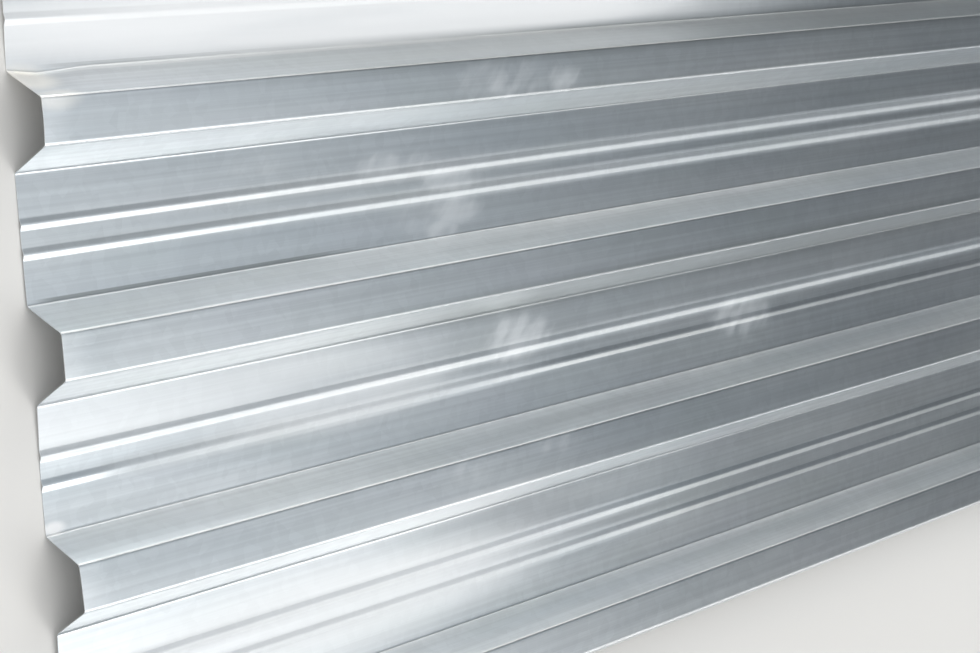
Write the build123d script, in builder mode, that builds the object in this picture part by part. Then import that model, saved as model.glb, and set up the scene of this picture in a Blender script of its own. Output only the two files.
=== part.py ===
from build123d import *
import os

os.makedirs("parts", exist_ok=True)

# One roll-formed roofing sheet of zinc-coated steel, in millimetres.
# X runs along the ribs, Y across the sheet and Z up. The origin is at the middle of
# the footprint, on the level that the undersides of the pans rest on.

# Driving dimensions of the sheet
SHEET_LENGTH = 3000.0
STEEL_THICKNESS = 0.5

# Ribs: flat-topped, with a sloped web on each side
RIB_COUNT = 5
RIB_PITCH = 171.5
RIB_HEIGHT = 36.5  # from the underside of a pan to the top of a crest
CREST_WIDTH = 35.0  # between the two fold lines of a crest
WEB_RUN = 19.0  # how far a web reaches sideways
FOLD_RADIUS = 3.0  # inside of the folds between pan, web and crest

# Stiffening beads: two low ridges along each pan
BEAD_SPACING = 22.0
BEAD_WIDTH = 9.0
BEAD_HEIGHT = 1.6
BEAD_FOLD_RADIUS = 3.0

# Lips: the short turned-down edges of the two outer ribs, which lap over the next sheet
LIP_RUN = 6.5

# The section is drawn along the underside of the steel, so a fold that opens upwards
# has the steel's thickness added to its radius, and one that opens downwards has not
FOOT_RADIUS = FOLD_RADIUS + STEEL_THICKNESS
BEAD_FOOT_RADIUS = BEAD_FOLD_RADIUS + STEEL_THICKNESS
CREST_LEVEL = RIB_HEIGHT - STEEL_THICKNESS
HALF_CREST = CREST_WIDTH / 2
HALF_BEAD = BEAD_WIDTH / 2
LIP_DROP = LIP_RUN * CREST_LEVEL / WEB_RUN
HALF_COVER = RIB_PITCH * (RIB_COUNT - 1) / 2


def rib_folds(middle):
    """Folds of a whole rib as (y, z, radius), from its left foot to its right foot."""
    return [
        (middle - HALF_CREST - WEB_RUN, 0, FOOT_RADIUS),
        (middle - HALF_CREST, CREST_LEVEL, FOLD_RADIUS),
        (middle + HALF_CREST, CREST_LEVEL, FOLD_RADIUS),
        (middle + HALF_CREST + WEB_RUN, 0, FOOT_RADIUS),
    ]


def bead_folds(middle):
    """Folds of one stiffening bead as (y, z, radius)."""
    return [
        (middle - HALF_BEAD, 0, BEAD_FOOT_RADIUS),
        (middle, BEAD_HEIGHT, BEAD_FOLD_RADIUS),
        (middle + HALF_BEAD, 0, BEAD_FOOT_RADIUS),
    ]


def pan_folds(middle):
    """Folds of the two beads that stiffen a pan."""
    return bead_folds(middle - BEAD_SPACING / 2) + bead_folds(middle + BEAD_SPACING / 2)


def sheet_folds():
    """Every fold of the sheet, from the lip of the left rib to the lip of the right rib."""
    left_lip = (-HALF_COVER - HALF_CREST - LIP_RUN, CREST_LEVEL - LIP_DROP, 0)
    right_lip = (HALF_COVER + HALF_CREST + LIP_RUN, CREST_LEVEL - LIP_DROP, 0)
    folds = [left_lip]
    for rib in range(RIB_COUNT):
        rib_middle = -HALF_COVER + rib * RIB_PITCH
        corners = rib_folds(rib_middle)
        # The outer ribs keep only their inner web; the lip takes the place of the other
        if rib == 0:
            corners = corners[1:]
        if rib == RIB_COUNT - 1:
            corners = corners[:-1]
        folds += corners
        if rib < RIB_COUNT - 1:
            folds += pan_folds(rib_middle + RIB_PITCH / 2)
    folds.append(right_lip)
    return folds


folds = sheet_folds()
section_points = [(y, z) for y, z, radius in folds]
section_radii = [radius for y, z, radius in folds[1:-1]]

with BuildPart() as corrugated_sheet:
    with BuildSketch(Plane.YZ.offset(-SHEET_LENGTH / 2)) as section:
        with BuildLine():
            FilletPolyline(*section_points, radius=section_radii)
            offset(amount=STEEL_THICKNESS, side=Side.LEFT)
        make_face()
    extrude(amount=SHEET_LENGTH)

corrugated_sheet.part.label = "corrugated_sheet"
export_step(corrugated_sheet.part, "parts/corrugated_sheet.step")
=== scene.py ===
import bpy
import math
import numpy as np
from mathutils import Matrix, Vector


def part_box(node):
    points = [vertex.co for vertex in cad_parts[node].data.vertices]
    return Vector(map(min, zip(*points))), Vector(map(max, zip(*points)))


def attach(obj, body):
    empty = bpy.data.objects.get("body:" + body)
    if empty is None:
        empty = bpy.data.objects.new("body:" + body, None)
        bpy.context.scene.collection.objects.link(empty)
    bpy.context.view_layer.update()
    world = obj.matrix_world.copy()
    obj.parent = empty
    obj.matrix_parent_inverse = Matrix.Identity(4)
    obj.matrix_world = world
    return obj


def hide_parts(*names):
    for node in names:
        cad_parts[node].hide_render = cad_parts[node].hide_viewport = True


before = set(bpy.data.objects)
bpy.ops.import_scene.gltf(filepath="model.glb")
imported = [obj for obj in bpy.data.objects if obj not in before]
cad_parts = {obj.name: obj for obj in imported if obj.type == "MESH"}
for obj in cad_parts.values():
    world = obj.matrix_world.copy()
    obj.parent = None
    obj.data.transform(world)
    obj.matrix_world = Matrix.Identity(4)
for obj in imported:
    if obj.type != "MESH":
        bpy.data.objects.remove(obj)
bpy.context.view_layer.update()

# Sizes of the sheet, in metres. X runs along the ribs, Y across, Z up.
low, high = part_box("corrugated_sheet")
SHEET_LENGTH = high.x - low.x
RIB_HEIGHT = high.z - low.z
STEEL = 0.0005
RIB_COUNT = 5
RIB_PITCH = 0.1715
CREST_WIDTH = 0.035
WEB_RUN = 0.019
FOLD_RADIUS = 0.003
BEAD_SPACING = 0.022
BEAD_WIDTH = 0.009
BEAD_HEIGHT = 0.0016
BEAD_FOLD_RADIUS = 0.003
LIP_RUN = 0.0065

CREST_LEVEL = RIB_HEIGHT - STEEL
HALF_COVER = RIB_PITCH * (RIB_COUNT - 1) / 2
HALF_CREST = CREST_WIDTH / 2
HALF_BEAD = BEAD_WIDTH / 2
RIB_FOOT = HALF_CREST + WEB_RUN
HALF_PAN = RIB_PITCH / 2 - RIB_FOOT

# How finely the sheet is drawn
FOLD_STEPS = 6          # facets round a fold between pan, web and crest
BEAD_STEPS = 3          # facets round each fold of a bead
FLAT_STEP = 0.008       # widest strip of a flat
FOLD_MARGIN = 0.0006    # narrow strip beside a fold, which keeps its shading off the flat
SHORT_FLAT = 0.0024     # a flat shorter than this gets no strips of its own
STATION_STEP = 0.03     # spacing of the stations along the ribs
CLOSE_STEP = 0.005      # spacing of the stations beside a cut end
CLOSE_STRETCH = 0.035   # length at each end that has the closest stations
END_STEP = 0.0125       # spacing of the next stations
END_STRETCH = 0.12      # length at each end up to where those go
END_MARGIN = 0.0003     # narrow strip beside a cut end, which keeps its shading off the flats

# How the flats of this sheet lean, as the rise in Z per metre towards +Y. The pans are given as
# (low-Y part, high-Y part, place where they meet), and both lists start at the lowest Y.
PAN_SLOPES = (
    (0.028, 0.045, 0.0),
    (-0.014, 0.052, -0.003),
    (-0.016, -0.010, 0.0),
    (0.060, -0.015, 0.0),
)
CREST_SLOPES = (0.0, -0.050, -0.012, 0.035, 0.0)
SLOPE_BLEND = 0.008     # half-width of the stretch of a pan where its two slopes meet
SLOPE_DRIFT = 0.22      # share by which a slope changes along the sheet
CREST_WANDER = 0.004    # further change of a crest's slope
CREST_CROWN = 0.0002    # how far the edges of a crest lie under its middle
CANNING = 0.00022       # height of the long shallow buckles of a pan
BUCKLE_PLACE = 0.6      # where the buckles lie on either side, as a share of the half-pan
BUCKLE_SPREAD = 0.3     # how wide they are, as a share of it
WEB_WAVE = 0.00025      # sideways waviness of a web
END_CURL = 0.0008       # how far the crests dip at a cut end
END_CURL_LENGTH = 0.03
CORNER_DIP = 0.0009     # how much further one corner of the creased rib's crest dips

# Random waves along the sheet: each is a sum of sines, whose lengths lie between two limits
RELIEF_SEED = 7
SINES = 4
SINE_HEIGHT = 0.5
DRIFT_LENGTHS = (0.4, 1.3)
WANDER_LENGTHS = (0.3, 0.9)
BUCKLE_LENGTHS = (0.25, 0.8)
WEB_LENGTHS = (0.2, 0.7)

# The foot of one web is creased beside the low-X end: its rib, its side, and how far the foot
# stands out at each distance from the end. The crease gets closer to the end towards the crest.
CREASED_RIB = 3
CREASED_SIDE = 1
CREASE_PLACES = (0.0, 0.030, 0.080)
CREASE_SHIFTS = (0.0006, -0.0026, 0.0)
CREASE_LEAN = 0.85      # share by which the crease's place falls between the foot and the crest
CREASE_FADE = 0.022     # width of the pan over which the foot's shift fades out


def rib_middle(rib):
    """Y of the middle of a rib, counted from the lowest Y."""
    return -HALF_COVER + rib * RIB_PITCH


def pan_middle(pan):
    """Y of the middle of a pan, counted from the lowest Y."""
    return -HALF_COVER + (pan + 0.5) * RIB_PITCH


def web_middle(rib, side):
    """Y of the middle of a rib's web on its low-Y side, -1, or its high-Y side, 1."""
    return rib_middle(rib) + side * (HALF_CREST + WEB_RUN / 2)


def bead_middle(pan, side):
    """Y of the middle of a pan's bead on its low-Y side, -1, or its high-Y side, 1."""
    return pan_middle(pan) + side * BEAD_SPACING / 2


def rib_folds(middle):
    """Folds of a whole rib on the underside, as (y, z, radius, steps)."""
    foot = FOLD_RADIUS + STEEL
    return [
        (middle - RIB_FOOT, 0.0, foot, FOLD_STEPS),
        (middle - HALF_CREST, CREST_LEVEL, FOLD_RADIUS, FOLD_STEPS),
        (middle + HALF_CREST, CREST_LEVEL, FOLD_RADIUS, FOLD_STEPS),
        (middle + RIB_FOOT, 0.0, foot, FOLD_STEPS),
    ]


def bead_folds(middle):
    """Folds of one stiffening bead."""
    foot = BEAD_FOLD_RADIUS + STEEL
    return [
        (middle - HALF_BEAD, 0.0, foot, BEAD_STEPS),
        (middle, BEAD_HEIGHT, BEAD_FOLD_RADIUS, BEAD_STEPS),
        (middle + HALF_BEAD, 0.0, foot, BEAD_STEPS),
    ]


def sheet_folds():
    """Every fold of the section, from the lip at low Y to the lip at high Y."""
    lip_level = CREST_LEVEL - LIP_RUN * CREST_LEVEL / WEB_RUN
    lip = HALF_COVER + HALF_CREST + LIP_RUN
    folds = [(-lip, lip_level, 0.0, 0)]
    for rib in range(RIB_COUNT):
        corners = rib_folds(rib_middle(rib))
        if rib == 0:
            corners = corners[1:]
        if rib == RIB_COUNT - 1:
            corners = corners[:-1]
        folds += corners
        if rib < RIB_COUNT - 1:
            folds += bead_folds(bead_middle(rib, -1)) + bead_folds(bead_middle(rib, 1))
    folds.append((lip, lip_level, 0.0, 0))
    return folds


def fold_arc(before, corner, after, radius, steps):
    """Points of a fold's arc with the normals of the upper side, as rows of (y, z, ny, nz)."""
    toward = (corner - before) / np.linalg.norm(corner - before)
    away = (after - corner) / np.linalg.norm(after - corner)
    turn = math.atan2(toward[0] * away[1] - toward[1] * away[0], toward @ away)
    start = corner - toward * radius * math.tan(abs(turn) / 2)
    side = math.copysign(1.0, turn)
    centre = start + side * radius * np.array([-toward[1], toward[0]])
    rows = []
    for step in range(steps + 1):
        angle = turn * step / steps
        along = np.array([
            toward[0] * math.cos(angle) - toward[1] * math.sin(angle),
            toward[0] * math.sin(angle) + toward[1] * math.cos(angle),
        ])
        up = np.array([-along[1], along[0]])
        point = centre - side * radius * up
        rows.append((point[0], point[1], up[0], up[1]))
    return rows


def flat_rows(start, end):
    """Points inside a flat stretch between two folds, close beside each fold and evenly between."""
    gap = np.hypot(end[0] - start[0], end[1] - start[1])
    if gap < SHORT_FLAT:
        return []
    margin = FOLD_MARGIN / gap
    inner = max(1, math.ceil((gap - 2 * FOLD_MARGIN) / FLAT_STEP))
    shares = [margin + (1 - 2 * margin) * k / inner for k in range(inner)] + [1 - margin]
    normal = np.array([-(end[1] - start[1]), end[0] - start[0]]) / gap
    return [
        (start[0] + (end[0] - start[0]) * s, start[1] + (end[1] - start[1]) * s, normal[0], normal[1])
        for s in shares
    ]


def section_rows():
    """The whole underside of the section as rows of (y, z, ny, nz), in order of Y."""
    folds = sheet_folds()
    corners = [np.array(fold[:2]) for fold in folds]
    arcs = []
    for k in range(1, len(folds) - 1):
        radius, steps = folds[k][2:]
        arcs.append(fold_arc(corners[k - 1], corners[k], corners[k + 1], radius, steps))
    first = arcs[0][0]
    last = arcs[-1][-1]
    rows = [(corners[0][0], corners[0][1], first[2], first[3])]
    for arc in arcs:
        rows += flat_rows(rows[-1], arc[0])
        rows += arc
    end = (corners[-1][0], corners[-1][1], last[2], last[3])
    rows += flat_rows(rows[-1], end)
    rows.append(end)
    return np.array(rows)


def stations():
    """Places of the cross-sections along the ribs, closer together near both cut ends."""
    closest = np.arange(CLOSE_STEP, CLOSE_STRETCH, CLOSE_STEP)
    next_ones = np.arange(CLOSE_STRETCH, END_STRETCH, END_STEP)
    near = np.concatenate([[0, END_MARGIN], closest, next_ones])
    middle_count = math.ceil((SHEET_LENGTH - 2 * END_STRETCH) / STATION_STEP)
    middle = np.linspace(END_STRETCH, SHEET_LENGTH - END_STRETCH, middle_count + 1)
    return low.x + np.concatenate([near, middle, SHEET_LENGTH - near[::-1]])


def long_wave(rng, along, lengths):
    """A smooth random line along the sheet, between about -1 and 1, as a column."""
    line = np.zeros_like(along)
    for _ in range(SINES):
        length = rng.uniform(*lengths)
        line += SINE_HEIGHT * np.sin(2 * math.pi * along / length + rng.uniform(0, 2 * math.pi))
    return line[:, None]


def leaning_flat(offset, low_slope, high_slope, meeting):
    """Height of a flat whose two parts lean by two slopes, which blend at their meeting place."""
    mean = (low_slope + high_slope) / 2
    fold = (high_slope - low_slope) / 2
    return mean * offset + fold * np.hypot(offset - meeting, SLOPE_BLEND)


def pan_relief(rng, along, offset, slopes):
    """Height of a pan that leans and buckles and touches the floor somewhere at each station."""
    drift = 1 + SLOPE_DRIFT * long_wave(rng, along, DRIFT_LENGTHS)
    low_slope, high_slope, meeting = slopes
    shape = leaning_flat(offset, low_slope * drift, high_slope * drift, meeting)
    for side in (-1, 1):
        buckle = long_wave(rng, along, BUCKLE_LENGTHS)
        spread = np.exp(-((offset / HALF_PAN - BUCKLE_PLACE * side) / BUCKLE_SPREAD) ** 2)
        shape = shape + CANNING * buckle * spread
    return shape - shape.min(axis=1, keepdims=True)


def crest_relief(rng, along, offset, slope):
    """Depth of a crest that leans and is slightly crowned, under its highest point at each station."""
    drift = 1 + SLOPE_DRIFT * long_wave(rng, along, DRIFT_LENGTHS)
    lean = slope * drift + CREST_WANDER * long_wave(rng, along, WANDER_LENGTHS)
    shape = lean * offset - CREST_CROWN * (offset / HALF_CREST) ** 2
    return shape - shape.max(axis=1, keepdims=True)


def end_crease(rows, along):
    """Shift in Y of the creased web's foot beside the low-X end, for each station and row."""
    beside = CREASED_SIDE * (rows[:, 0] - rib_middle(CREASED_RIB))
    on_web = np.clip((beside - HALF_CREST) / WEB_RUN, 0, 1)
    on_pan = np.clip(1 - (beside - RIB_FOOT) / CREASE_FADE, 0, 1)
    shift = np.zeros((len(along), len(rows)))
    for k in np.flatnonzero(on_web * on_pan):
        places = np.array(CREASE_PLACES) * (1 - CREASE_LEAN * (1 - on_web[k]))
        shift[:, k] = np.interp(along - along[0], places, CREASE_SHIFTS) * on_web[k] * on_pan[k]
    return CREASED_SIDE * shift


def relief(rows, along):
    """Shallow relief of the rolled sheet, as shifts in Y and Z for each station and row."""
    rng = np.random.default_rng(RELIEF_SEED)
    y = rows[None, :, 0]
    level = np.clip(rows[None, :, 1] / CREST_LEVEL, 0, 1)
    shift_y = np.zeros((len(along), len(rows)))
    pans = np.zeros_like(shift_y)
    crests = np.zeros_like(shift_y)
    from_start = (along - along[0])[:, None]
    from_end = np.minimum(from_start, (along[-1] - along)[:, None])
    near_start = np.clip(1 - from_start / END_CURL_LENGTH, 0, 1) ** 2
    near_end = np.clip(1 - from_end / END_CURL_LENGTH, 0, 1) ** 2
    for pan in range(RIB_COUNT - 1):
        away = y - pan_middle(pan)
        shape = pan_relief(rng, along, np.clip(away, -HALF_PAN, HALF_PAN), PAN_SLOPES[pan])
        pans = np.where(np.abs(away) <= RIB_PITCH / 2, shape, pans)
    for rib in range(RIB_COUNT):
        away = y - rib_middle(rib)
        offset = np.clip(away, -HALF_CREST, HALF_CREST)
        shape = crest_relief(rng, along, offset, CREST_SLOPES[rib])
        if rib == CREASED_RIB:
            corner = np.clip(CREASED_SIDE * offset / HALF_CREST, 0, 1)
            shape = shape - CORNER_DIP * corner * near_start
        crests = np.where(np.abs(away) <= RIB_PITCH / 2, shape, crests)
        for side in (-1, 1):
            # A web wavers most halfway up, and not at its foot or its crest.
            wave = WEB_WAVE * long_wave(rng, along, WEB_LENGTHS) * 4 * level * (1 - level)
            beside = (side * away > 0) & (side * away < RIB_PITCH / 2)
            inside_lips = np.abs(y) < HALF_COVER + HALF_CREST
            shift_y += np.where(beside & inside_lips, wave, 0)
    shift_z = (1 - level) * pans + level * (crests - END_CURL * near_end)
    return shift_y + end_crease(rows, along), shift_z


def sheet_points(rows, along):
    """Points of the upper side and then of the underside, station by station."""
    shift_y, shift_z = relief(rows, along)
    under = np.zeros((len(along), len(rows), 3))
    under[:, :, 0] = along[:, None]
    under[:, :, 1] = rows[None, :, 0] + shift_y
    under[:, :, 2] = rows[None, :, 1] + shift_z
    upper = under.copy()
    upper[:, :, 1] += STEEL * rows[None, :, 2]
    upper[:, :, 2] += STEEL * rows[None, :, 3]
    return np.concatenate([upper.reshape(-1, 3), under.reshape(-1, 3)])


def side_faces(station_count, across_count):
    """Faces of the upper side and the underside."""
    under = station_count * across_count
    faces = []
    for j in range(station_count - 1):
        for i in range(across_count - 1):
            a = j * across_count + i
            b = a + across_count
            faces.append((a, b, b + 1, a + 1))
            faces.append((under + a, under + a + 1, under + b + 1, under + b))
    return faces


def rim_faces(station_count, across_count):
    """Faces of the sheet's thickness at its two cut ends and along its two lips."""
    under = station_count * across_count
    last_station = (station_count - 1) * across_count
    faces = []
    for i in range(across_count - 1):
        a, b = i, i + 1
        faces.append((a, b, under + b, under + a))
        a, b = last_station + i, last_station + i + 1
        faces.append((b, a, under + a, under + b))
    for j in range(station_count - 1):
        a, b = j * across_count, (j + 1) * across_count
        faces.append((b, a, under + a, under + b))
        a, b = a + across_count - 1, b + across_count - 1
        faces.append((a, b, under + b, under + a))
    return faces


def build_sheet():
    """The sheet as one closed mesh of its real thickness, with its rims shaded flat."""
    rows = section_rows()
    along = stations()
    sides = side_faces(len(along), len(rows))
    rims = rim_faces(len(along), len(rows))
    mesh = bpy.data.meshes.new("sheet_skin")
    mesh.from_pydata(sheet_points(rows, along).tolist(), [], sides + rims)
    smooth = np.zeros(len(mesh.polygons), bool)
    smooth[:len(sides)] = True
    mesh.polygons.foreach_set("use_smooth", smooth)
    mesh.update()
    piece = bpy.data.objects.new("sheet_skin", mesh)
    bpy.context.scene.collection.objects.link(piece)
    return piece


def feed(tree, socket, value):
    """Link another node's output to a socket, or set a plain value on it."""
    if isinstance(value, bpy.types.NodeSocket):
        tree.links.new(value, socket)
    else:
        socket.default_value = value


def add_node(tree, kind, **inputs):
    """A node of a kind, with its inputs fed by name."""
    node = tree.nodes.new(kind)
    for name, value in inputs.items():
        feed(tree, node.inputs[name], value)
    return node


def math_node(tree, operation, first, second=0.0):
    """The result of a calculation with one or two values."""
    node = tree.nodes.new("ShaderNodeMath")
    node.operation = operation
    feed(tree, node.inputs[0], first)
    feed(tree, node.inputs[1], second)
    return node.outputs[0]


def product(tree, first, second):
    """Two values multiplied."""
    return math_node(tree, "MULTIPLY", first, second)


def combined(tree, operation, values):
    """Several values combined one after another by an operation."""
    result = values[0]
    for value in values[1:]:
        result = math_node(tree, operation, result, value)
    return result


def vector_node(tree, operation, first, second=(0.0, 0.0, 0.0)):
    """A calculation with one or two vectors, as a node."""
    node = tree.nodes.new("ShaderNodeVectorMath")
    node.operation = operation
    feed(tree, node.inputs[0], first)
    feed(tree, node.inputs[1], second)
    return node


def ramp_between(tree, value, start, end, to_start=0.0, to_end=1.0):
    """A smooth step of a value from one end of a range to the other."""
    node = tree.nodes.new("ShaderNodeMapRange")
    node.interpolation_type = "SMOOTHSTEP"
    feed(tree, node.inputs["Value"], value)
    node.inputs["From Min"].default_value = start
    node.inputs["From Max"].default_value = end
    node.inputs["To Min"].default_value = to_start
    node.inputs["To Max"].default_value = to_end
    return node.outputs[0]


# The Mix node has sockets for each kind of data. These are the ones for colours.
MIX_SHARE = 0
MIX_FIRST = 6
MIX_SECOND = 7
MIX_RESULT = 2


def mix_colour(tree, share, first, second, blend="MIX"):
    """Two colours blended by a share."""
    node = tree.nodes.new("ShaderNodeMix")
    node.data_type = "RGBA"
    node.blend_type = blend
    feed(tree, node.inputs[MIX_SHARE], share)
    feed(tree, node.inputs[MIX_FIRST], first)
    feed(tree, node.inputs[MIX_SECOND], second)
    return node.outputs[MIX_RESULT]


def noise_value(tree, position, density, detail, roughness):
    """Noise with its own density along each axis, in features per metre."""
    place = vector_node(tree, "MULTIPLY", position, density).outputs[0]
    node = add_node(
        tree, "ShaderNodeTexNoise", Vector=place, Scale=1.0, Detail=detail, Roughness=roughness,
    )
    return node.outputs["Fac"]


def split_position(tree, position):
    """The X, Y and Z of a position, by name."""
    return add_node(tree, "ShaderNodeSeparateXYZ", Vector=position).outputs


PATCH_CORE = 0.35       # share of a patch's radii inside which it has its full strength


def patch_mask(tree, position, centre, radii):
    """One inside an ellipsoid round a place on the sheet, falling smoothly to nought at its rim."""
    away = vector_node(tree, "SUBTRACT", position, centre).outputs[0]
    scaled = vector_node(tree, "MULTIPLY", away, tuple(1 / radius for radius in radii)).outputs[0]
    distance = vector_node(tree, "LENGTH", scaled).outputs["Value"]
    return ramp_between(tree, distance, 1.0, PATCH_CORE)


def strip_mask(tree, position, middle, half_width, fade_in, fade_out):
    """One along the middle of a strip that runs with the ribs, and nought outside it."""
    place = split_position(tree, position)
    beside = math_node(tree, "ABSOLUTE", math_node(tree, "SUBTRACT", place["Y"], middle))
    across = ramp_between(tree, beside, half_width, half_width / 2)
    start = ramp_between(tree, place["X"], fade_in[0], fade_in[1])
    stop = ramp_between(tree, place["X"], fade_out[1], fade_out[0])
    return product(tree, across, product(tree, start, stop))


def strongest_patch(tree, position, patches):
    """The strongest of several patches, given by their places, radii and strengths."""
    return combined(tree, "MAXIMUM", [
        product(tree, patch_mask(tree, position, centre, radii), strength)
        for centre, radii, strength in patches
    ])


def strip_masks(tree, position, strips):
    """The masks of several strips, each weakened to its strength."""
    return [product(tree, strip_mask(tree, position, *strip), strength) for strip, strength in strips]


# The zinc coating. Noise is given by its features per metre along X, Y and Z, its detail and its
# roughness. A range is the pair of values between which a ramp rises.
CLOUDS = ((2.0, 18.0, 18.0), 2.0, 0.5)
CLOUD_RANGE = (0.3, 0.7)
DARK_ZINC = (0.625, 0.66, 0.685, 1)
LIGHT_ZINC = (0.68, 0.705, 0.72, 1)

HUES = ((5.0, 22.0, 22.0), 2.0, 0.5)
HUE_MIDDLE = 0.5
HUE_REACH = 0.25
GREENISH_ZINC = (0.635, 0.685, 0.675, 1)
GREENISH_SHARE = 0.25
BLUISH_ZINC = (0.66, 0.67, 0.72, 1)
BLUISH_SHARE = 0.22

STREAKS = ((1.6, 260.0, 260.0), 3.0, 0.6)
STREAK_RANGE = (0.25, 0.75)
STREAK_TONES = (0.93, 1.07)
SPANGLE_DENSITY = 95.0
SPANGLE_TONES = (0.975, 1.025)

FINE_GRAIN = ((8.0, 420.0, 420.0), 3.0, 0.6)
GRAIN_STRENGTH = 0.10
GRAIN_HEIGHT = 0.0002

# Roughness: of the clouds, what the spangle adds, and what smudges and bloom add at full strength
CLOUD_ROUGHNESS = (0.283, 0.293)
SPANGLE_ROUGHNESS = (-0.002, 0.01)
SMUDGE_ROUGHNESS = 0.12
BLOOM_ROUGHNESS = 0.24
MOST_BLOOM_ROUGHNESS = 0.16

# Broad pale bloom on the coating, partly real and partly a painted highlight that whitens the pans to
# the brightness of the light they reflect: (x, y, z), (half-length, half-width, half-height), strength.
# It stays on the pans and the feet of the webs, and turns to a pale oxide where strong.
BLOOM_AND_HIGHLIGHT_PATCHES = (
    ((-1.05, 0.240, 0.0), (0.90, 0.060, 0.030), 1.0),
    ((-1.35, -0.055, 0.0), (0.40, 0.030, 0.020), 0.42),
    ((-1.16, -0.085, 0.0), (0.20, 0.030, 0.020), 0.38),
    ((-1.22, -0.257, 0.0), (0.43, 0.060, 0.020), 0.55),
    # A painted highlight: a bright spot where a pan's cut end catches the light.
    ((-1.492, -0.130, 0.0), (0.016, 0.007, 0.020), 1.0),
)
BLOOM_AND_HIGHLIGHT_COLOUR = (0.985, 0.985, 0.985, 1)
BLOOM_TEXTURE = ((3.0, 40.0, 40.0), 3.0, 0.5)
BLOOM_TEXTURE_RANGE = (0.2, 0.6)
BLOOM_TONES = (0.82, 1.0)
BLOOM_TOP = 0.0065      # height up the web's foot at which the bloom has faded out
BLOOM_FULL = 0.0045     # height up to which it has its full strength
OXIDE_RANGE = (0.6, 0.9)
OXIDE_METALLIC = 0.15

# Painted highlights beside the cut end, cream on the creased web's foot and pale on the corner of its
# crest, where the bent steel catches the light; given as the blooms are
PAINTED_END_HIGHLIGHTS = (
    ((-1.490, 0.202, 0.010), (0.036, 0.016, 0.028), 1.0),
    ((-1.484, 0.188, 0.0365), (0.030, 0.013, 0.014), 0.6),
)
PAINTED_END_HIGHLIGHT_COLOUR = (0.97, 0.95, 0.905, 1)

# Frosted smudges, given as the blooms are. Wiping strokes tear them, and a thin veil is left whole.
SMUDGES = (
    ((-0.955, 0.170, 0.0365), (0.120, 0.030, 0.014), 0.55),
    ((-0.960, 0.168, 0.0365), (0.036, 0.022, 0.014), 0.75),
    ((-0.862, 0.166, 0.0365), (0.042, 0.020, 0.014), 0.7),
    ((-1.022, 0.060, 0.0), (0.075, 0.040, 0.010), 0.5),
    ((-0.992, 0.085, 0.0), (0.065, 0.018, 0.010), 0.85),
    ((-0.988, 0.058, 0.0), (0.055, 0.021, 0.010), 0.9),
    ((-1.010, 0.044, 0.0), (0.040, 0.014, 0.010), 0.9),
    ((-1.030, 0.104, 0.0), (0.035, 0.016, 0.010), 0.6),
    ((-1.235, 0.119, 0.0), (0.060, 0.016, 0.010), 0.4),
    ((-1.085, 0.106, 0.0), (0.050, 0.016, 0.010), 0.7),
    ((-0.910, -0.064, 0.0), (0.075, 0.034, 0.010), 0.9),
    ((-0.915, -0.035, 0.0), (0.080, 0.030, 0.010), 0.35),
    ((-1.022, -0.165, 0.0365), (0.070, 0.018, 0.012), 0.5),
    ((-0.903, -0.159, 0.0365), (0.060, 0.018, 0.012), 0.6),
    ((-0.533, -0.092, 0.0), (0.085, 0.034, 0.010), 0.8),
)
SMUDGE_COLOUR = (0.87, 0.89, 0.905, 1)
SMUDGE_SHARE = 0.55     # how far a smudge covers the coating between the strokes
SMUDGE_VEIL = 0.12      # share of a smudge that the strokes leave whole
SMUDGE_EDGE = 4         # how fast a smudge gets its full share inside its rim
WIPES = ((75.0, 26.0, 26.0), 2.0, 0.5)
WIPE_ANGLE = 0.87       # turn of the wiping strokes, in radians
WIPE_RANGE = (0.66, 1.20)
WIPE_LIFT = 0.6         # how much a strong smudge withstands the wiping

# Strips along the ribs, each with its strength: (middle in Y, half-width, X between which it fades
# in, X between which it fades out)
DULL_BEADS = (
    ((bead_middle(0, -1), BEAD_WIDTH, (-1.60, -1.50), (-0.90, -0.60)), 0.20),
    ((bead_middle(0, 1), BEAD_WIDTH, (-1.60, -1.50), (-0.90, -0.60)), 0.20),
    ((bead_middle(1, -1), BEAD_WIDTH, (-1.47, -1.40), (-1.05, -0.80)), 0.28),
    ((bead_middle(1, 1), BEAD_WIDTH, (-1.60, -1.50), (0.50, 1.00)), 0.10),
    ((bead_middle(2, -1), BEAD_WIDTH, (-1.60, -1.05), (0.50, 1.00)), 0.16),
    ((bead_middle(2, 1), BEAD_WIDTH, (-1.60, -1.05), (0.50, 1.00)), 0.16),
)
# A painted highlight: a web lightened near white where it reflects a bright lamp.
PAINTED_HIGHLIGHT_WEBS = (
    ((web_middle(1, -1), WEB_RUN, (-1.35, -1.00), (-1.00, -0.85)), 0.55),
)
PAINTED_HIGHLIGHT_WEB_COLOUR = (0.97, 0.975, 0.985, 1)
# Painted shade: the first two run as dark lines in the creases beside the feet of ribs, and the other
# two darken a web each over a stretch of its length
PAINTED_SHADE_STRIPS = (
    ((rib_middle(2) + RIB_FOOT + 0.0027, 0.0019, (-1.50, -1.47), (-1.22, -1.08)), 0.85),
    ((rib_middle(3) + RIB_FOOT + 0.0025, 0.0018, (-1.48, -1.44), (-1.20, -0.90)), 0.30),
    ((web_middle(2, -1), WEB_RUN, (-1.32, -0.90), (-0.20, 0.50)), 0.42),
    ((web_middle(3, 1), WEB_RUN, (-1.50, -1.00), (-0.20, 0.50)), 0.50),
)
PAINTED_SHADE_COLOUR = (0.315, 0.335, 0.335, 1)


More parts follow.
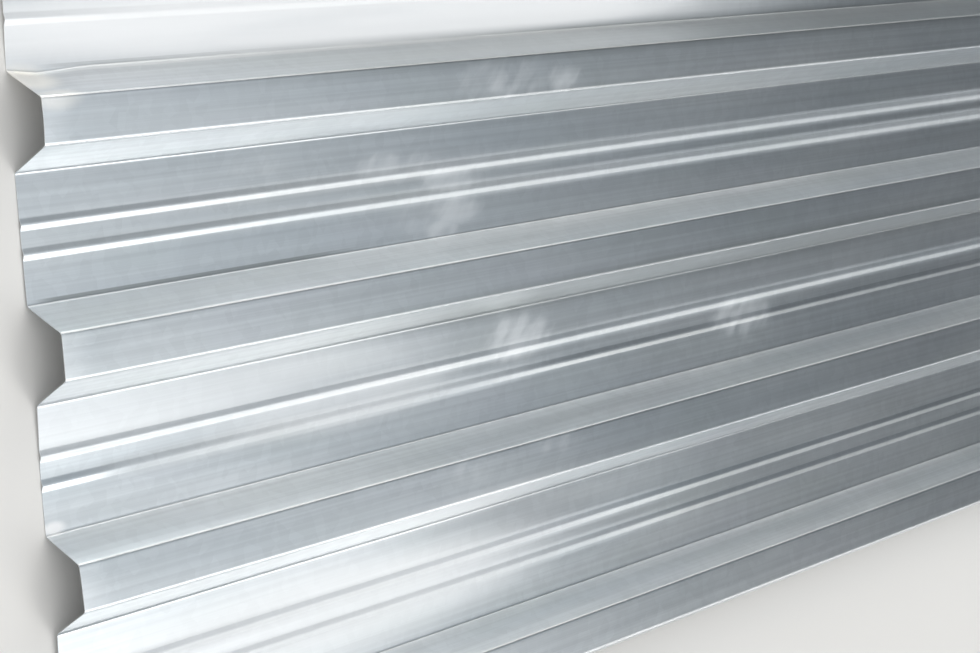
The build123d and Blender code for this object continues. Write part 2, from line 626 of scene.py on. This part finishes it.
def bare_zinc(tree, position, clouds, spangle):
    """Colour of the clean coating: cloudy blue-grey with faint hues, rolling streaks and spangle."""
    colour = mix_colour(tree, ramp_between(tree, clouds, *CLOUD_RANGE), DARK_ZINC, LIGHT_ZINC)
    hue = noise_value(tree, position, *HUES)
    greenish = ramp_between(tree, hue, HUE_MIDDLE, HUE_MIDDLE + HUE_REACH, 0.0, GREENISH_SHARE)
    colour = mix_colour(tree, greenish, colour, GREENISH_ZINC)
    bluish = ramp_between(tree, hue, HUE_MIDDLE, HUE_MIDDLE - HUE_REACH, 0.0, BLUISH_SHARE)
    colour = mix_colour(tree, bluish, colour, BLUISH_ZINC)
    streaks = noise_value(tree, position, *STREAKS)
    tone = ramp_between(tree, streaks, *STREAK_RANGE, *STREAK_TONES)
    tone = product(tree, tone, ramp_between(tree, spangle, 0.0, 1.0, *SPANGLE_TONES))
    grey = add_node(tree, "ShaderNodeCombineColor", Red=tone, Green=tone, Blue=tone)
    return mix_colour(tree, 1.0, colour, grey.outputs[0], "MULTIPLY")


def bloom_and_highlight_mask(tree, position):
    """How strong the pale bloom, partly a painted highlight, is at each place."""
    texture = noise_value(tree, position, *BLOOM_TEXTURE)
    texture = ramp_between(tree, texture, *BLOOM_TEXTURE_RANGE, *BLOOM_TONES)
    bloom_and_highlight = product(tree, strongest_patch(tree, position, BLOOM_AND_HIGHLIGHT_PATCHES), texture)
    height = split_position(tree, position)["Z"]
    return product(tree, bloom_and_highlight, ramp_between(tree, height, BLOOM_TOP, BLOOM_FULL))


def smudge_mask(tree, position):
    """How far frosted smudges, torn by slanting wiping strokes, cover the coating."""
    smudge = strongest_patch(tree, position, SMUDGES)
    turned = add_node(tree, "ShaderNodeVectorRotate", Vector=position, Angle=WIPE_ANGLE)
    turned.rotation_type = "Z_AXIS"
    wipes = noise_value(tree, turned.outputs[0], *WIPES)
    torn = math_node(tree, "ADD", wipes, product(tree, smudge, WIPE_LIFT))
    torn = ramp_between(tree, torn, *WIPE_RANGE)
    inside = product(tree, smudge, SMUDGE_EDGE * SMUDGE_SHARE)
    inside = math_node(tree, "MINIMUM", inside, SMUDGE_SHARE)
    veil = product(tree, smudge, SMUDGE_VEIL)
    return math_node(tree, "ADD", product(tree, torn, inside), veil)


def zinc_roughness(tree, position, clouds, spangle, bloom_and_highlight, smudge):
    """Roughness of the coating, which smudges, bloom and dulled beads raise."""
    haze = product(tree, bloom_and_highlight, BLOOM_ROUGHNESS)
    return combined(tree, "ADD", [
        ramp_between(tree, clouds, *CLOUD_RANGE, *CLOUD_ROUGHNESS),
        ramp_between(tree, spangle, 0.0, 1.0, *SPANGLE_ROUGHNESS),
        product(tree, smudge, SMUDGE_ROUGHNESS),
        *strip_masks(tree, position, DULL_BEADS),
        math_node(tree, "MINIMUM", haze, MOST_BLOOM_ROUGHNESS),
    ])


def zinc_material():
    """Hot-dip zinc with soft spangle, rolling streaks, pale bloom that is partly a painted highlight,
    smudges, painted highlights at the cut end and on a web, and painted shade along rib feet and webs.
    """
    material = bpy.data.materials.new("zinc_coated_steel")
    material.use_nodes = True
    tree = material.node_tree
    position = tree.nodes.new("ShaderNodeTexCoord").outputs["Object"]
    clouds = noise_value(tree, position, *CLOUDS)
    cells = add_node(tree, "ShaderNodeTexVoronoi", Vector=position, Scale=SPANGLE_DENSITY)
    spangle = add_node(tree, "ShaderNodeSeparateColor", Color=cells.outputs["Color"]).outputs
    bloom_and_highlight = bloom_and_highlight_mask(tree, position)
    smudge = smudge_mask(tree, position)

    colour = bare_zinc(tree, position, clouds, spangle["Red"])
    # Covers over the bare coating: bloom that is partly a painted highlight, a painted highlight on a
    # web, painted highlights at the cut end, smudges, and painted shade.
    covers = (
        (bloom_and_highlight, BLOOM_AND_HIGHLIGHT_COLOUR),
        (combined(tree, "MAXIMUM", strip_masks(tree, position, PAINTED_HIGHLIGHT_WEBS)), PAINTED_HIGHLIGHT_WEB_COLOUR),
        (strongest_patch(tree, position, PAINTED_END_HIGHLIGHTS), PAINTED_END_HIGHLIGHT_COLOUR),
        (smudge, SMUDGE_COLOUR),
        (combined(tree, "MAXIMUM", strip_masks(tree, position, PAINTED_SHADE_STRIPS)), PAINTED_SHADE_COLOUR),
    )
    for mask, cover in covers:
        colour = mix_colour(tree, mask, colour, cover)

    fine = noise_value(tree, position, *FINE_GRAIN)
    grain = add_node(tree, "ShaderNodeBump", Height=fine, Strength=GRAIN_STRENGTH, Distance=GRAIN_HEIGHT)
    shader = tree.nodes["Principled BSDF"]
    feed(tree, shader.inputs["Base Color"], colour)
    feed(tree, shader.inputs["Metallic"], ramp_between(tree, bloom_and_highlight, *OXIDE_RANGE, 1.0, OXIDE_METALLIC))
    rough = zinc_roughness(tree, position, clouds, spangle["Green"], bloom_and_highlight, smudge)
    feed(tree, shader.inputs["Roughness"], rough)
    feed(tree, shader.inputs["Normal"], grain.outputs["Normal"])
    return material


# The floor
FLOOR_SIZE = 40.0
FLOOR_COLOUR = (0.8, 0.78, 0.75, 1)
FLOOR_ROUGHNESS = 0.9


def floor_material():
    """Plain matt paint."""
    material = bpy.data.materials.new("floor_paint")
    material.use_nodes = True
    shader = material.node_tree.nodes["Principled BSDF"]
    shader.inputs["Base Color"].default_value = FLOOR_COLOUR
    shader.inputs["Roughness"].default_value = FLOOR_ROUGHNESS
    return material


def build_floor():
    """A plain square floor under the sheet."""
    half = FLOOR_SIZE / 2
    corners = [(-half, -half, 0), (half, -half, 0), (half, half, 0), (-half, half, 0)]
    mesh = bpy.data.meshes.new("floor")
    mesh.from_pydata(corners, [], [(0, 1, 2, 3)])
    mesh.materials.append(floor_material())
    ground = bpy.data.objects.new("floor", mesh)
    ground.location.z = low.z
    bpy.context.scene.collection.objects.link(ground)
    return ground


# The studio. Its light is a world that changes with the height above the horizon, in degrees,
# with soft panels in it.
ZENITH = 90
SKY_LEVELS = (
    (0, (0.39, 0.395, 0.40)),
    (8, (0.44, 0.45, 0.46)),
    (20, (0.09, 0.10, 0.11)),
    (28, (0.02, 0.025, 0.03)),
    (33, (0.025, 0.03, 0.035)),
    (37, (0.07, 0.085, 0.10)),
    (42, (0.80, 0.89, 0.96)),
    (46, (0.60, 0.65, 0.69)),
    (56, (0.77, 0.79, 0.81)),
    (ZENITH, (1.24, 1.25, 1.26)),
)
# A panel is given by its corners, as (azimuth from +X towards +Y, elevation) in degrees, the
# softness of its edges in degrees and its colour. The corners make a convex outline.
PANELS = {
    "side window": (
        ((-16.5, 42), (-28, 27), (-37, 22), (-62, 22), (-62, 60), (-16.5, 62)), 1.5, (1.4, 1.4, 1.38),
    ),
    "side lamp": (((-30, 24), (-50, 22), (-50, 38), (-30, 38)), 3.0, (2.25, 2.2, 2.1)),
    "side glow": (((-28, 8), (-28, -5), (-75, -5), (-75, 8)), 3.0, (2.3, 2.3, 2.3)),
    "far fill": (((36, 22), (76, 22), (76, 36), (54, 34), (36, 30)), 3.0, (2.65, 2.6, 2.5)),
    "near slot": (((29, 7), (44, 7), (44, 21), (33, 21)), 3.0, (1.45, 1.4, 1.33)),
    "far side": (((50, -5), (76, -5), (76, 21), (50, 21)), 3.0, (2.9, 2.8, 2.65)),
    "overhead": (((-16, 54), (14, 54), (20, 76), (-24, 76)), 4.0, (0.3, 0.3, 0.3)),
    "back left": (((86, 12), (150, 12), (150, 40), (86, 40)), 4.0, (1.05, 1.05, 1.05)),
    "back": (((150, 12), (210, 12), (210, 40), (150, 40)), 4.0, (1.05, 1.05, 1.05)),
    "back right": (((210, 12), (274, 12), (274, 40), (210, 40)), 4.0, (1.05, 1.05, 1.05)),
}


def direction(azimuth, elevation):
    """Unit vector towards a place in the sky, given in degrees."""
    a, e = math.radians(azimuth), math.radians(elevation)
    return Vector((math.cos(e) * math.cos(a), math.cos(e) * math.sin(a), math.sin(e)))


def panel_mask(tree, where, corners, softness):
    """One inside a soft-edged panel with these corners, and nought outside it."""
    places = [direction(*corner) for corner in corners]
    inside = sum(places, Vector((0, 0, 0)))
    soft = math.sin(math.radians(softness))
    sides = []
    for first, second in zip(places, places[1:] + places[:1]):
        edge = first.cross(second).normalized()
        if edge.dot(inside) < 0:
            edge = -edge
        within = vector_node(tree, "DOT_PRODUCT", where, edge).outputs["Value"]
        sides.append(ramp_between(tree, within, -soft, soft))
    return combined(tree, "MULTIPLY", sides)


def sky_colour(tree, where):
    """Colour of the bare sky by the height above the horizon."""
    elevation = math_node(tree, "ARCSINE", split_position(tree, where)["Z"])
    ramp = tree.nodes.new("ShaderNodeValToRGB")
    feed(tree, ramp.inputs["Fac"], math_node(tree, "DIVIDE", elevation, math.pi / 2))
    ramp.color_ramp.interpolation = "B_SPLINE"
    stops = ramp.color_ramp.elements
    for degrees, _ in SKY_LEVELS[1:-1]:
        stops.new(degrees / ZENITH)
    for stop, (degrees, colour) in zip(stops, SKY_LEVELS):
        stop.position = degrees / ZENITH
        stop.color = (*colour, 1)
    return ramp.outputs["Color"]


def light_studio():
    """The world that lights the sheet."""
    world = bpy.data.worlds.new("studio")
    bpy.context.scene.world = world
    world.use_nodes = True
    world.cycles.sampling_method = "NONE"
    tree = world.node_tree
    where = tree.nodes.new("ShaderNodeTexCoord").outputs["Generated"]
    light = sky_colour(tree, where)
    for corners, softness, colour in PANELS.values():
        mask = panel_mask(tree, where, corners, softness)
        light = mix_colour(tree, mask, light, (*colour, 1), "ADD")
    feed(tree, tree.nodes["Background"].inputs["Color"], light)


# The camera, as fitted to the photograph's fold lines
CAMERA_PLACE = Vector((-2.8757, 0.2296, 1.4935))
CAMERA_FORWARD = Vector((0.78540, -0.11392, -0.60841))
CAMERA_UP = Vector((0.12978, 0.99138, -0.01810))
FOCAL_PIXELS = 2747.0
IMAGE_WIDTH = 980.0
SENSOR = 36.0


def place_camera():
    """The scene's camera, at the photograph's viewing angle."""
    data = bpy.data.cameras.new("camera")
    data.sensor_width = SENSOR
    data.lens = FOCAL_PIXELS / IMAGE_WIDTH * SENSOR
    camera = bpy.data.objects.new("camera", data)
    forward = CAMERA_FORWARD.normalized()
    right = forward.cross(CAMERA_UP).normalized()
    up = right.cross(forward)
    camera.matrix_world = Matrix((
        (right.x, up.x, -forward.x, CAMERA_PLACE.x),
        (right.y, up.y, -forward.y, CAMERA_PLACE.y),
        (right.z, up.z, -forward.z, CAMERA_PLACE.z),
        (0, 0, 0, 1),
    ))
    bpy.context.scene.collection.objects.link(camera)
    bpy.context.scene.camera = camera


sheet = build_sheet()
sheet.data.materials.append(zinc_material())
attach(sheet, "root")
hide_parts("corrugated_sheet")
floor = build_floor()
light_studio()
place_camera()
bpy.context.scene.view_settings.view_transform = "Standard"
